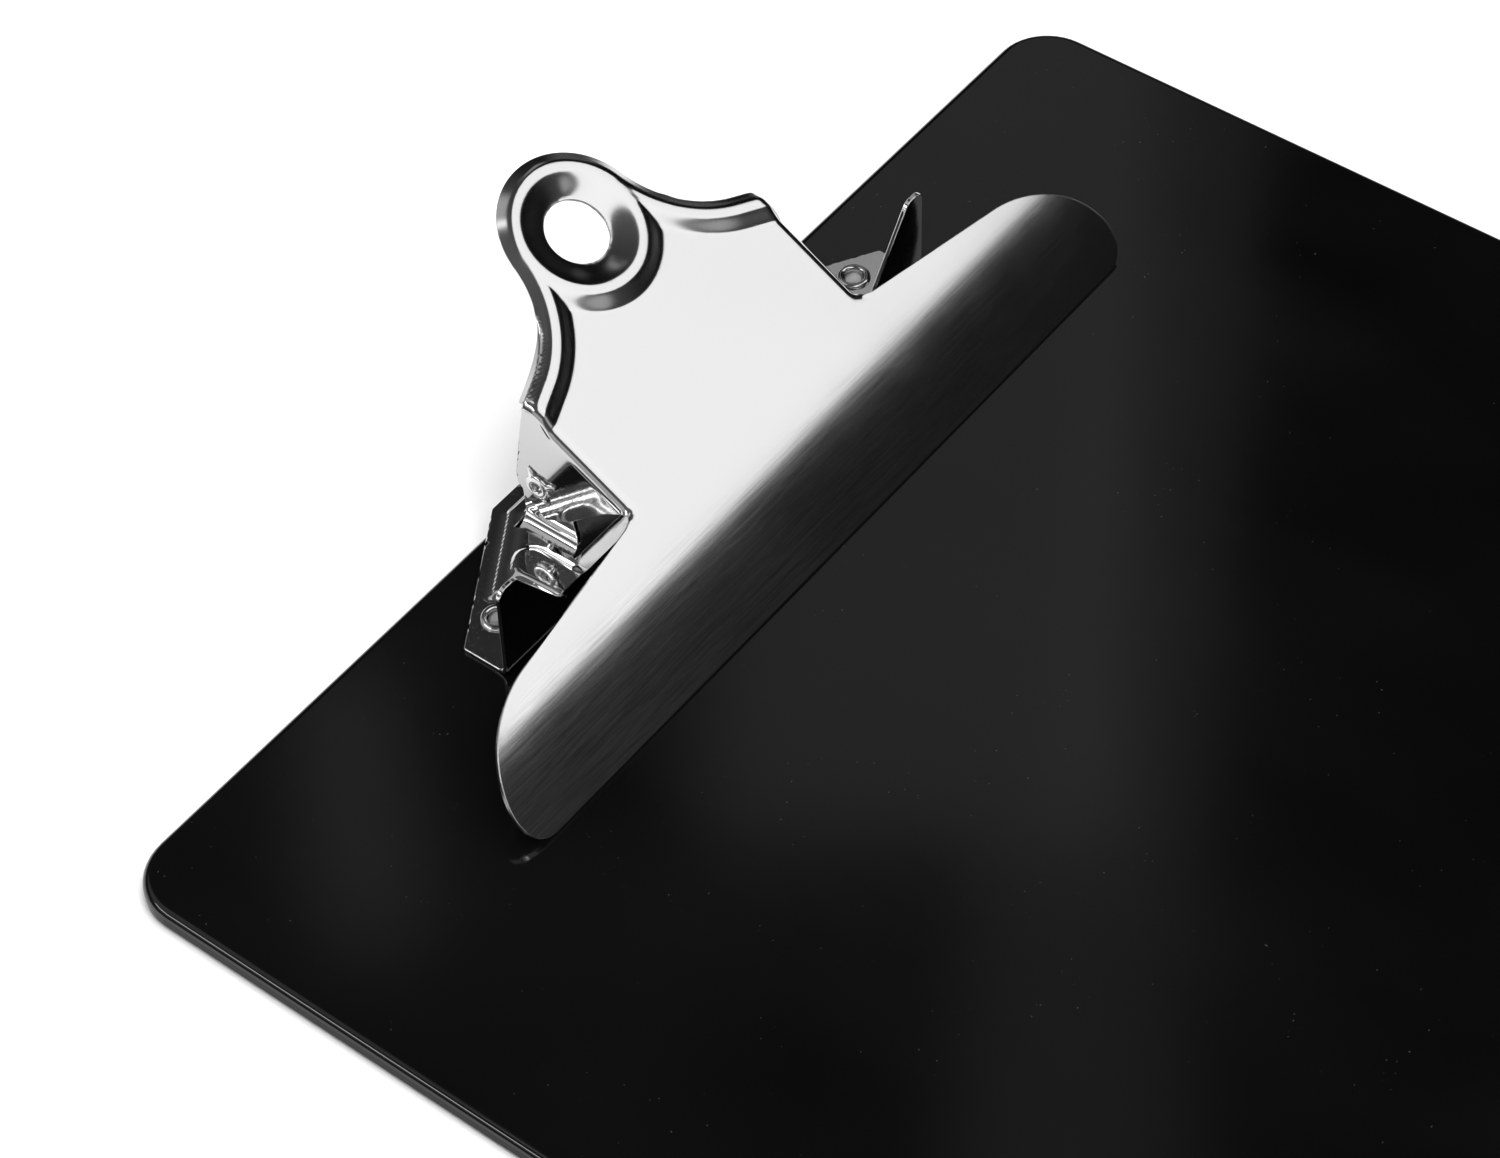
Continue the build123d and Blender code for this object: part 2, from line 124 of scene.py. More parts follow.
# The skirt that hangs from the flare's corner: its end lies (along, out) from the arc's end
SKIRT_BEND = 0.5
SKIRT_DEPTH = 4.0
SKIRT_ALLOWANCE = SKIRT_BEND * (math.pi / 2 - 1)
SKIRT_TIP = (2.2, SKIRT_ALLOWANCE + SKIRT_DEPTH)
SKIRT_TIP_RADIUS = 1.2
SKIRT_ROOT = (3.9, 0.2)
SKIRT_ROOT_RADIUS = 0.35

# The side flange, each corner with its radius: its top and foot as (u from the bend, v), its
# lower edge as (y, z) from the pivot
FLANGE_BEND = 1.8
FLANGE_TOP = [((-0.9, 22.75), 0.3), ((0.4, 22.1), 0.4)]
FLANGE_EDGE = [((5.0, 1.4), 1.6), ((3.6, -5.0), 1.5), ((-0.6, -7.1), 1.6), ((-5.4, -4.6), 2.0)]
FLANGE_FOOT = [((3.35, 3.2), 1.2), ((-1.2, 0.7), 0.9)]

# The wings and the jaw
WING_ROOT = (NECK_HALF_WIDTH + 1.6, -0.65)
WING_ROOT_RADIUS = 3.0
WING_END = (58.0, -4.75)
JAW_HALF_WIDTH = lever_high[0]
JAW_CORNER_V = -6.93
JAW_SIDE_END = 5.0
JAW_END_RADIUS = 4.3
JAW_END_LEAN = 0.7
JAW_FLAT = 0.4
JAW_BEND_RADIUS = 58.0
JAW_BEND_ANGLE = math.radians(24.6)
JAW_EDGE_GAP = 0.05

# Mesh of the lever: rows up the neck, spacing there and on the jaw, clearance from the rim
NECK_MESH_ROWS = (0.6, 54)
NECK_MESH_HALF_WIDTH = NECK_HALF_WIDTH + 20
NECK_MESH_STEP = 0.42
JAW_MESH_STEPS = (1.2, 0.75)
LEVER_RIM_MARGIN = 0.25
LEVER_EDGE_BREAK = 0.12

# ---------------------------------------------------------------- shape of the base plate
# y is counted from the board's top edge, heights from its front face
PLATEAU_RISE = 1.5
FIRST_STEP = 0.9
STEP_WALL = 1.1
TERRACE = 2.3
STEP_FOOT = [(0.0, -0.3), (27.6, -0.3), (42.9, -9.55), (40.4, -12.8), (39.6, -26.0), (0.0, -26.0)]
STEP_SOFTNESS = 0.55
PAD_X = 34.3
PAD_REAR = -10.9
PAD_FRONT = -40.0
PAD_RADIUS = 3.3
PAD_RISE = 0.4
PAD_WALL = 0.5
BASE_HALF_WIDTH = base_high[0]
BASE_REAR = base_high[1] - TOP_EDGE
BASE_REAR_CORNER = 28.2
BASE_SIDE_CORNER = -12.6
BASE_FRONT = -18.7
BASE_FRONT_END = 37.6
BASE_RADII = [0.6, 0.6, 1.7, 1.7, 0.5, 0.4, 0.4]
BASE_MESH_ROWS = (-37, 1.7)
BASE_MESH_STEP = 0.5
BASE_RIM_STEP = 0.8
BASE_RIM_MARGIN = 0.45
BASE_EDGE_BREAK = 0.20
EAR_ROOT = 29.5
EAR_BEND = 2.0
EAR_REAR = -4.6
EAR_FRONT = -15.2
EAR_TIP_RADIUS = 4.4
EAR_TIP_ARC = (math.radians(85), math.radians(275))
WINDOW_REAR = -3.8
WINDOW_FRONT = -15.6
PIN_HOLE_RADIUS = 1.55
STOP_INNER = 37.9
STOP_INNER_REAR = -19.2
STOP_BEND = 0.6
STOP_ROOT = -21.0 + SHEET + STOP_BEND
STOP_KNEE = 4.0
STOP_TOP_WIDTH = 3.8
STOP_MARGIN = 0.5
EYELET_FOOT_RADIUS = 3.4
EYELET_HOLE_RADIUS = 2.25
EYELET_X = eyelet_high[0] - EYELET_FOOT_RADIUS
EYELET_Y = -13.0
EAR_BEND_LENGTH = EAR_BEND * math.pi / 2
EAR_RISE = PIVOT_Z - FRONT - SHEET - PLATEAU_RISE - EAR_BEND
PIN_HOLE_X = EAR_ROOT - EAR_BEND_LENGTH - EAR_RISE

# ---------------------------------------------------------------- shape of the pin's staked ends
STAKE_ROWS = 7
STAKE_START = 1.4
STAKE_LENGTH = 2.3
STAKE_HALF_WIDTH = 0.75
STAKE_BASE_HEIGHT = 0.1
STAKE_CROWN_HEIGHT = 0.5
STAKE_SEAT = 0.62
STAKE_TURNS = (62, 152, 242)
# One row across a lobe, as shares of its half width and of its height
STAKE_SECTION = [(-1, 0), (-0.75, 0.7), (0, 1), (0.75, 0.7), (1, 0), (0, -0.1)]

# ---------------------------------------------------------------- shape of the spring
WIRE_RADIUS = 1.0
COIL_RADIUS = 5.0
COIL_PITCH = 2.2
COIL_TURNS = 5
SPRING_BASE_LEG = 12.7
SPRING_BASE_LEG_DROP = 31.1
SPRING_LEVER_LEG = 13.8
SPRING_LEVER_LEG_RISE = 55.2
SPRING_LEG_START = 0.6
SPRING_COIL_POINTS = 260
SPRING_LEG_POINTS = 14


# ---------------------------------------------------------------- mesh helpers
def smooth(value, low, high, softness=1.0):
    """0 below low, 1 above high; between them a wall, straight at softness 0, a full S at 1."""
    t = np.clip((value - low) / (high - low), 0, 1)
    return (1 - softness) * t + softness * t * t * (3 - 2 * t)


def turned_down(value, rounding=0.4):
    """0 to 1: starts level, rounds over, then falls straight to the end."""
    t = np.clip(value, 0, 1)
    curved = t * t / (2 * rounding)
    return np.where(t < rounding, curved, t - rounding / 2) / (1 - rounding / 2)


def roll_down(run, radius):
    """How far out and how far down a sheet gets that runs on past its bend line."""
    run = np.maximum(run, 0)
    angle = np.minimum(run / radius, math.pi / 2)
    straight = np.maximum(run - radius * math.pi / 2, 0)
    return radius * np.sin(angle), radius * (1 - np.cos(angle)) + straight


def arc(centre, radius, start, end, step=0.4):
    """Points on an arc from start to end, in radians."""
    count = max(3, int(abs(end - start) * radius / step))
    angles = np.linspace(start, end, count + 1)
    return [(centre[0] + radius * math.cos(a), centre[1] + radius * math.sin(a)) for a in angles]


def rounded(corners, radii, step=0.4):
    """An open path through corners, each inner one rounded to its radius."""
    points = [tuple(corners[0])]
    for before, corner, after, radius in zip(corners, corners[1:], corners[2:], radii):
        corner = np.array(corner, float)
        to_before = np.array(before, float) - corner
        to_after = np.array(after, float) - corner
        to_before /= np.linalg.norm(to_before)
        to_after /= np.linalg.norm(to_after)
        half = math.acos(np.clip(to_before @ to_after, -1, 1)) / 2
        reach = radius / math.tan(half)
        count = max(3, int((math.pi - 2 * half) * radius / step))
        first = corner + to_before * reach
        last = corner + to_after * reach
        bisector = (to_before + to_after) / np.linalg.norm(to_before + to_after)
        centre = corner + bisector * radius / math.sin(half)
        for share in np.linspace(0, 1, count + 1):
            spoke = (first - centre) * (1 - share) + (last - centre) * share
            points.append(tuple(centre + spoke * radius / np.linalg.norm(spoke)))
    points.append(tuple(corners[-1]))
    return points


def evenly(points, step):
    """The same path with points no further apart than step."""
    filled = [points[0]]
    for here, there in zip(points, points[1:]):
        length = math.dist(here, there)
        count = max(1, math.ceil(length / step))
        for k in range(1, count + 1):
            filled.append(tuple(np.array(here) + (np.array(there) - np.array(here)) * k / count))
    return filled


def mirrored(half_path):
    """A closed loop from a path that starts and ends on u = 0."""
    other_half = [(-u, v) for u, v in reversed(half_path[1:-1])]
    return half_path + other_half


def inside(points, loop):
    """Which points lie inside a closed loop."""
    loop = np.array(loop)
    after = np.roll(loop, -1, axis=0)
    x, y = points[:, 0][:, None], points[:, 1][:, None]
    found = np.zeros(len(points), bool)
    for start in range(0, len(points), 4000):
        part = slice(start, start + 4000)
        crosses = (loop[:, 1] > y[part]) != (after[:, 1] > y[part])
        rise = after[:, 1] - loop[:, 1]
        rise = np.where(rise == 0, 1e-12, rise)
        at = loop[:, 0] + (y[part] - loop[:, 1]) * (after[:, 0] - loop[:, 0]) / rise
        found[part] = np.sum(crosses & (x[part] < at), axis=1) % 2 == 1
    return found


def grid(u_low, u_high, v_low, v_high, u_step, v_step):
    """Evenly spaced points over a rectangle, symmetric about its middle."""
    u = np.linspace(u_low, u_high, max(2, round((u_high - u_low) / u_step) + 1))
    v = np.linspace(v_low, v_high, max(2, round((v_high - v_low) / v_step) + 1))
    return np.stack(np.meshgrid(u, v), axis=-1).reshape(-1, 2)


def triangulated(outline, holes, fill, margin):
    """Blank cut to outline and holes: its points (u, v) and its triangles, counter-clockwise."""
    loops = [outline] + holes
    rim = np.concatenate([np.array(loop) for loop in loops])
    tree = KDTree(len(rim))
    for k, point in enumerate(rim):
        tree.insert((point[0], point[1], 0), k)
    tree.balance()
    within = inside(fill, outline)
    for hole in holes:
        within &= ~inside(fill, hole)
    fill = np.array([p for p in fill[within] if tree.find((p[0], p[1], 0))[2] > margin])
    edges = []
    first = 0
    for loop in loops:
        count = len(loop)
        edges += [(first + k, first + (k + 1) % count) for k in range(count)]
        first += count
    points = np.concatenate([rim, fill])
    flat = [Vector(p) for p in points.tolist()]
    placed, _, faces, _, _, _ = delaunay_2d_cdt(flat, edges, [], 0, 1e-6)
    placed = np.array([tuple(p) for p in placed])
    faces = np.array(faces)
    middle = placed[faces].mean(axis=1)
    kept = inside(middle, outline)
    for hole in holes:
        kept &= ~inside(middle, hole)
    return placed, faces[kept]


def mesh_object(name, points, faces, smooth_shading=True):
    """A mesh object from points in millimetres."""
    mesh = bpy.data.meshes.new(name)
    mesh.from_pydata((np.array(points) * MM).tolist(), [], [list(map(int, f)) for f in faces])
    mesh.validate()
    mesh.polygons.foreach_set("use_smooth", [smooth_shading] * len(mesh.polygons))
    thing = bpy.data.objects.new(name, mesh)
    bpy.context.scene.collection.objects.link(thing)
    return thing


def thicken(thing, thickness, edge_break, segments=2):
    """Gives a surface the sheet's thickness, inwards, and breaks its cut edges."""
    solid = thing.modifiers.new("sheet", "SOLIDIFY")
    solid.thickness = thickness * MM
    solid.offset = -1
    solid.use_even_offset = False
    bevel = thing.modifiers.new("edge_break", "BEVEL")
    bevel.width = edge_break * MM
    bevel.segments = segments
    bevel.limit_method = "ANGLE"
    bevel.angle_limit = math.radians(50)
    bevel.use_clamp_overlap = False
    bevel.harden_normals = True


def revolved(name, profile, axis_point, axis, segments=64):
    """A closed ring of profile points (radius, along) turned about an axis."""
    along = Vector(axis).normalized()
    across = along.orthogonal().normalized()
    third = along.cross(across)
    centre = np.array(axis_point, float)
    points = []
    for k in range(segments):
        turn = TAU * k / segments
        spoke = np.array(across) * math.cos(turn) + np.array(third) * math.sin(turn)
        points += [centre + spoke * r + np.array(along) * h for r, h in profile]
    count = len(profile)
    faces = []
    for k in range(segments):
        here, there = k * count, (k + 1) % segments * count
        for j in range(count):
            after = (j + 1) % count
            faces.append((here + j, there + j, there + after, here + after))
    return mesh_object(name, points, faces)


def tube(name, path, radius, sides=20):
    """Wire along a path, with domed ends."""
    path = np.array(path, float)
    tangents = np.gradient(path, axis=0)
    tangents /= np.linalg.norm(tangents, axis=1)[:, None]
    normal = np.array(Vector(tangents[0]).orthogonal().normalized())
    rings = []
    for point, tangent in zip(path, tangents):
        normal = normal - tangent * (normal @ tangent)
        normal /= np.linalg.norm(normal)
        rings.append((point, tangent, normal.copy()))
    dome = [(radius * math.sin(a), radius * (1 - math.cos(a))) for a in np.linspace(0.15, math.pi / 2, 5)]
    start = rings[0]
    finish = rings[-1]
    rows = [(start[0] + start[1] * (h - radius) * 0.5, start, r) for r, h in dome]
    rows += [(ring[0], ring, radius) for ring in rings[1:-1]]
    rows += [(finish[0] - finish[1] * (h - radius) * 0.5, finish, r) for r, h in reversed(dome)]
    points = []
    for centre, (_, tangent, normal), r in rows:
        third = np.cross(tangent, normal)
        for k in range(sides):
            a = TAU * k / sides
            points.append(centre + r * (normal * math.cos(a) + third * math.sin(a)))
    faces = []
    for row in range(len(rows) - 1):
        for k in range(sides):
            after = (k + 1) % sides
            here = row * sides
            there = here + sides
            faces.append((here + k, here + after, there + after, there + k))
    faces.append(tuple(reversed(range(sides))))
    last = (len(rows) - 1) * sides
    faces.append(tuple(last + k for k in range(sides)))
    return mesh_object(name, points, faces)


def attached(piece, body, replaced=None):
    """Rides a piece on its body, and hides the CAD node it stands for, if one is given."""
    if replaced:
        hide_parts(replaced)
    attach(piece, body)
    return piece


# ---------------------------------------------------------------- lever
def flare_inset(points):
    """How far inside the flare's edge each (u, v) with u >= 0 lies, and the way out to that edge."""
    along = np.array([math.cos(FLARE_END), -math.sin(FLARE_END)])
    across = np.array([-math.sin(FLARE_END), -math.cos(FLARE_END)])
    offset = points - FLARE
    straight = offset @ along > 0
    distance = np.where(straight, offset @ across, np.linalg.norm(offset, axis=1))
    outward = np.where(straight[:, None], -across, -offset / np.linalg.norm(offset, axis=1)[:, None])
    return distance - FLARE_RADIUS, outward


def along_border(points):
    """How far along the outline past the point where ring and flare meet, positive on the flare."""
    to_flare = FLARE - RING
    lean = math.atan2(to_flare[1], to_flare[0])
    from_ring = points - RING
    from_flare = points - FLARE
    ring_turn = np.arctan2(from_ring[:, 1], from_ring[:, 0]) - lean
    flare_turn = (np.arctan2(from_flare[:, 1], from_flare[:, 0]) - math.pi - lean) % TAU
    flare_turn = np.where(flare_turn > math.pi, flare_turn - TAU, flare_turn)
    return np.where(ring_turn > 0, -ring_turn * RING_RADIUS, flare_turn * FLARE_RADIUS)


def border_share(points):
    """0 on the ring, where the border is a shallow bead, to 1 on the flares, where it turns down."""
    return smooth(along_border(points), *LIP_BLEND)


def mixed(on_ring, on_flare, share):
    """A value between the ring's and the flare's."""
    return on_ring + (on_flare - on_ring) * share


def turn_border(points, on_ring, share):
    """The slope outside the crest, and the skirt: the moved points, and how far each drops."""
    from_ring = points - RING
    ring_distance = np.maximum(np.linalg.norm(from_ring, axis=1), 1e-6)
    inset, flare_outward = flare_inset(points)
    lip = mixed(RING_LIP, FLARE_LIP, share)
    fall = mixed(RING_FALL, FLARE_FALL, share)
    run = np.where(on_ring, ring_distance - RING_RADIUS, -inset) + lip
    run = np.where(points[:, 1] > BORDER_FOOT, np.maximum(run, 0), 0)
    outward = np.where(on_ring[:, None], from_ring / ring_distance[:, None], flare_outward)
    slope_end = lip - SKIRT_BEND * smooth(along_border(points), *SKIRT_BEND_GROWS)
    on_slope = np.minimum(run, slope_end)
    skirt_reach, skirt_drop = roll_down(run - slope_end, SKIRT_BEND)
    drop = fall * turned_down(on_slope / lip) + skirt_drop
    return points + outward * (on_slope + skirt_reach - run)[:, None], drop


def embossed_height(points, on_ring, share):
    """Height of the crest round the ring and along the flares, less the dish at the hang hole."""
    ring_distance = np.linalg.norm(points - RING, axis=1)
    inset, _ = flare_inset(points)
    full = mixed(RING_CREST, FLARE_CREST, share)
    flare_crest = full * (1 - smooth(inset, *FLARE_CREST_WALL, EMBOSSING_SOFTNESS))
    flare_crest = np.where(points[:, 1] > CREST_FOOT, flare_crest, 0)
    ring_crest = RING_CREST * (1 - smooth(ring_distance, *RING_CREST_WALL, EMBOSSING_SOFTNESS))
    crest = np.where(on_ring, full, np.maximum(flare_crest, ring_crest))
    dish = (RING_CREST + DISH_DEPTH) * (1 - smooth(ring_distance, *DISH_WALL, EMBOSSING_SOFTNESS))
    return crest - dish


def fold_flange(points):
    """Folds the neck's side down: the new u and the drop. The wings below it stay flat."""
    run = points[:, 0] - (NECK_HALF_WIDTH - FLANGE_BEND)
    reach, drop = roll_down(run, FLANGE_BEND)
    folded = smooth(points[:, 1], *FLANGE_STARTS)
    return points[:, 0] + folded * (reach - np.maximum(run, 0)), folded * drop


def roll_jaw(v):
    """Rolls the jaw down from the shoulder line: the new v and the drop."""
    below = np.maximum(-v - JAW_FLAT, 0)
    turn = np.minimum(below / JAW_BEND_RADIUS, JAW_BEND_ANGLE)
    tail = np.maximum(below - JAW_BEND_RADIUS * JAW_BEND_ANGLE, 0)
    back = JAW_BEND_RADIUS * np.sin(turn) + tail * math.cos(JAW_BEND_ANGLE)
    sink = JAW_BEND_RADIUS * (1 - np.cos(turn)) + tail * math.sin(JAW_BEND_ANGLE)
    return np.maximum(v, -JAW_FLAT) - back, sink


def lever_surface(points):
    """Lever blank (u, v) to the finished outer surface."""
    side = np.where(points[:, 0] < 0, -1.0, 1.0)
    half = np.stack([np.abs(points[:, 0]), points[:, 1]], axis=1)
    to_flare = FLARE - RING
    from_ring = half - RING
    on_ring = to_flare[0] * from_ring[:, 1] - to_flare[1] * from_ring[:, 0] > 0
    share = border_share(half)
    half, border_drop = turn_border(half, on_ring, share)
    u, flange_drop = fold_flange(half)
    v, jaw_drop = roll_jaw(half[:, 1])
    height = embossed_height(half, on_ring, share) - border_drop - flange_drop - jaw_drop
    sideways = (side * u)[:, None] * np.array([1.0, 0.0, 0.0])
    return SHOULDER + sideways + v[:, None] * UP_SLOPE + height[:, None] * OUTWARD


def jaw_length():
    """Length of the sheet from the shoulder line down to the jaw's edge on the board."""
    end_angle = SLOPE + JAW_BEND_ANGLE
    sunk = JAW_FLAT * math.sin(SLOPE)
    sunk += JAW_BEND_RADIUS * (math.cos(SLOPE) - math.cos(end_angle))
    rest = SHOULDER[2] - sunk - FRONT - JAW_EDGE_GAP - SHEET * math.cos(end_angle)
    return JAW_FLAT + JAW_BEND_RADIUS * JAW_BEND_ANGLE + rest / math.sin(end_angle)


def from_side(y, z):
    """A point of the side flange, given from the pivot, in (v, depth) below the neck's surface."""
    offset = np.array([0.0, PIVOT_Y + y, PIVOT_Z + z]) - SHOULDER
    return offset @ UP_SLOPE, -(offset @ OUTWARD)


def border_outline():
    """The blank's edge from the top of the ring to the end of the flare's arc, as it is cut."""
    lean = math.atan2(FLARE[1] - RING[1], FLARE[0] - RING[0])
    path = arc(RING, RING_RADIUS, math.pi / 2, lean)
    path += arc(FLARE, FLARE_RADIUS, math.pi + lean, 1.5 * math.pi - FLARE_END)[1:]
    # Towards the corner the blank runs on past the flare's edge as a skirt
    edge = np.array(path)
    travelled = along_border(edge)
    extra = SKIRT_ALLOWANCE * smooth(travelled, *SKIRT_BEND_GROWS)
    extra += SKIRT_DEPTH * smooth(travelled, *SKIRT_GROWS)
    blank = edge + (FLARE - edge) / FLARE_RADIUS * extra[:, None]
    return [tuple(point) for point in blank], edge[-1]


def flange_bends(arc_end):
    """Corners of the blank with their radii, from the end of the flare's arc to the wing's root."""
    along = np.array([math.cos(FLARE_END), -math.sin(FLARE_END)])
    out = np.array([math.sin(FLARE_END), math.cos(FLARE_END)])
    flange = NECK_HALF_WIDTH + FLANGE_BEND * (math.pi / 2 - 1)
    bends = [
        (arc_end + along * SKIRT_TIP[0] + out * SKIRT_TIP[1], SKIRT_TIP_RADIUS),
        (arc_end + along * SKIRT_ROOT[0] + out * SKIRT_ROOT[1], SKIRT_ROOT_RADIUS),
    ]
    bends += [((flange + u, v), radius) for (u, v), radius in FLANGE_TOP]
    for (y, z), radius in FLANGE_EDGE:
        v, depth = from_side(y, z)
        bends.append(((flange + depth - FLANGE_BEND, v), radius))
    bends += [((flange + u, v), radius) for (u, v), radius in FLANGE_FOOT]
    return bends + [(WING_ROOT, WING_ROOT_RADIUS)]


def jaw_outline():
    """From the wing's end round the jaw's corner, an ellipse-like arc, to the middle of its edge."""
    length = jaw_length()
    start = np.array(WING_END)
    control = np.array([JAW_HALF_WIDTH, JAW_CORNER_V])
    finish = np.array([JAW_HALF_WIDTH, -length + JAW_SIDE_END])
    weight = math.sqrt(0.5)
    path = []
    for t in np.linspace(0, 1, 60)[1:]:
        shares = np.array([(1 - t) ** 2, 2 * weight * t * (1 - t), t * t])
        path.append(tuple((shares[0] * start + shares[1] * control + shares[2] * finish) / shares.sum()))
    edge_end = (JAW_HALF_WIDTH - JAW_END_LEAN, -length)
    return path + rounded([path[-1], edge_end, (0.0, -length)], [JAW_END_RADIUS], 0.4)[1:]


def lever_outline():
    """Closed outline of the lever's blank, hang hole left out."""
    border, arc_end = border_outline()
    bends = flange_bends(arc_end)
    corners = [border[-1], *[corner for corner, _ in bends], WING_END]
    path = border[:-1] + rounded(corners, [radius for _, radius in bends], 0.25)
    return mirrored(evenly(path + jaw_outline(), 0.5))


def build_lever():
    outline = lever_outline()
    hole = arc(RING, HANG_HOLE_RADIUS, 0, TAU, 0.3)[:-1]
    length = jaw_length()
    neck = (-NECK_MESH_HALF_WIDTH, NECK_MESH_HALF_WIDTH, *NECK_MESH_ROWS)
    jaw = (-JAW_HALF_WIDTH, JAW_HALF_WIDTH, -length + 0.4, 0.1)
    fill = np.concatenate([grid(*neck, NECK_MESH_STEP, NECK_MESH_STEP), grid(*jaw, *JAW_MESH_STEPS)])
    points, faces = triangulated(outline, [hole], fill, LEVER_RIM_MARGIN)
    lever = mesh_object("brushed_lever", lever_surface(points), faces)
    thicken(lever, SHEET, LEVER_EDGE_BREAK)
    return attached(lever, "lever_body", "clip_lever")


# ---------------------------------------------------------------- base plate
def segment_distance(points, start, end):
    """Distance from each point to a segment."""
    start, end = np.array(start, float), np.array(end, float)
    along = end - start
    t = np.clip((points - start) @ along / (along @ along), 0, 1)
    return np.linalg.norm(points - start - t[:, None] * along, axis=1)


def depth_inside(points, loop):
    """How far inside a closed loop each point lies, 0 outside."""
    nearest = np.full(len(points), np.inf)
    for start, end in zip(loop, loop[1:] + loop[:1]):
        nearest = np.minimum(nearest, segment_distance(points, start, end))
    return np.where(inside(points, loop), nearest, 0)


def base_surface(points):
    """Base plate blank, (x, y from the board's top edge), to the finished upper surface."""
    side = np.where(points[:, 0] < 0, -1.0, 1.0)
    half = np.stack([np.abs(points[:, 0]), points[:, 1]], axis=1)
    steps = depth_inside(points, mirrored(STEP_FOOT))
    second_step = PLATEAU_RISE - FIRST_STEP
    rise = FIRST_STEP * smooth(steps, 0, STEP_WALL, STEP_SOFTNESS)
    rise += second_step * smooth(steps, TERRACE, TERRACE + STEP_WALL, STEP_SOFTNESS)
    pad = segment_distance(half, (PAD_X, PAD_REAR), (PAD_X, PAD_FRONT))
    rise += PAD_RISE * (1 - smooth(pad, PAD_RADIUS - PAD_WALL, PAD_RADIUS, STEP_SOFTNESS))
    x, y, z = half[:, 0], half[:, 1], SHEET + rise
    # Ears fold up, inner side first, from the edge of the window
    ear = (y < WINDOW_REAR) & (y > WINDOW_FRONT)
    run = np.where(ear, np.maximum(EAR_ROOT - x, 0), 0)
    reach, lift = roll_down(run, EAR_BEND)
    x = x + run - reach
    z = z + lift
    # Paper stops fold up from the front edge
    run = np.where(x > STOP_INNER - STOP_MARGIN, np.maximum(STOP_ROOT - y, 0), 0)
    reach, lift = roll_down(run, STOP_BEND)
    y = y + run - reach
    z = z + lift
    return np.stack([side * x, TOP_EDGE + y, FRONT + z], axis=1)


def ear_loop(outward):
    """The ear's blank, from its rear root round the tip to its front root."""
    pivot = (PIN_HOLE_X, PIVOT_Y - TOP_EDGE)
    path = [(EAR_ROOT, EAR_REAR)]
    path += arc(pivot, EAR_TIP_RADIUS, *EAR_TIP_ARC, 0.3)
    path += [(EAR_ROOT, EAR_FRONT)]
    return [(x * outward, y) for x, y in path]


def base_outline():
    """Closed outline of the base plate's blank, the paper stops unfolded from its front edge."""
    bent = STOP_BEND * math.pi / 2
    stop_end = STOP_ROOT - (bent + base_high[2] - FRONT - SHEET - STOP_BEND)
    stop_knee = STOP_ROOT - (bent + STOP_KNEE - SHEET - STOP_BEND)
    corners = [
        (0.0, BASE_REAR),
        (BASE_REAR_CORNER, BASE_REAR),
        (BASE_HALF_WIDTH, BASE_SIDE_CORNER),
        (BASE_HALF_WIDTH, stop_end),
        (BASE_HALF_WIDTH - STOP_TOP_WIDTH, stop_end),
        (STOP_INNER, stop_knee),
        (STOP_INNER, STOP_INNER_REAR),
        (BASE_FRONT_END, BASE_FRONT),
        (0.0, BASE_FRONT),
    ]
    return mirrored(evenly(rounded(corners, BASE_RADII), BASE_RIM_STEP))


def base_window():
    """The opening under the lever, with the two ears still flat in it."""
    window = [(EAR_ROOT, WINDOW_REAR), *ear_loop(1), (EAR_ROOT, WINDOW_FRONT)]
    window += [(-EAR_ROOT, WINDOW_FRONT), *reversed(ear_loop(-1)), (-EAR_ROOT, WINDOW_REAR)]
    return evenly(window + window[:1], BASE_RIM_STEP)[:-1]


def hole_pair(x, y, radius):
    """The same round hole on both sides."""
    return [arc((side * x, y), radius, 0, TAU, 0.3)[:-1] for side in (-1, 1)]


def build_base():
    holes = [base_window()]
    holes += hole_pair(PIN_HOLE_X, PIVOT_Y - TOP_EDGE, PIN_HOLE_RADIUS)
    holes += hole_pair(EYELET_X, EYELET_Y, EYELET_HOLE_RADIUS)
    span = (-BASE_HALF_WIDTH, BASE_HALF_WIDTH, *BASE_MESH_ROWS)
    fill = grid(*span, BASE_MESH_STEP, BASE_MESH_STEP)
    points, faces = triangulated(base_outline(), holes, fill, BASE_RIM_MARGIN)
    base = mesh_object("formed_base", base_surface(points), faces)
    thicken(base, SHEET, BASE_EDGE_BREAK, 3)
    return attached(base, "board_body", "base_plate")


# ---------------------------------------------------------------- eyelets, pin and spring
def build_eyelet(name, x):
    """An eyelet: its rolled head on the plate, its hollow shank, its flared foot in the board.

    The profile is (radius, height), from the bore's lower end up and round.
    """
    seat = FRONT + SHEET
    profile = [
        (1.65, 0.75), (1.65, seat + 0.05), (1.70, seat + 0.32), (1.84, seat + 0.50),
        (2.08, seat + 0.58), (2.34, seat + 0.56), (2.56, seat + 0.45), (2.70, seat + 0.28),
        (2.74, seat + 0.06), (2.20, seat), (2.20, 1.0), (3.20, 1.0),
        (EYELET_FOOT_RADIUS, 0.85), (EYELET_FOOT_RADIUS, 0.60),
        (3.20, 0.42), (2.60, 0.40), (2.00, 0.48),
    ]
    made = revolved(name, profile, (x, TOP_EDGE + EYELET_Y, 0), (0, 0, 1), 56)
    return attached(made, "board_body", "eyelets")


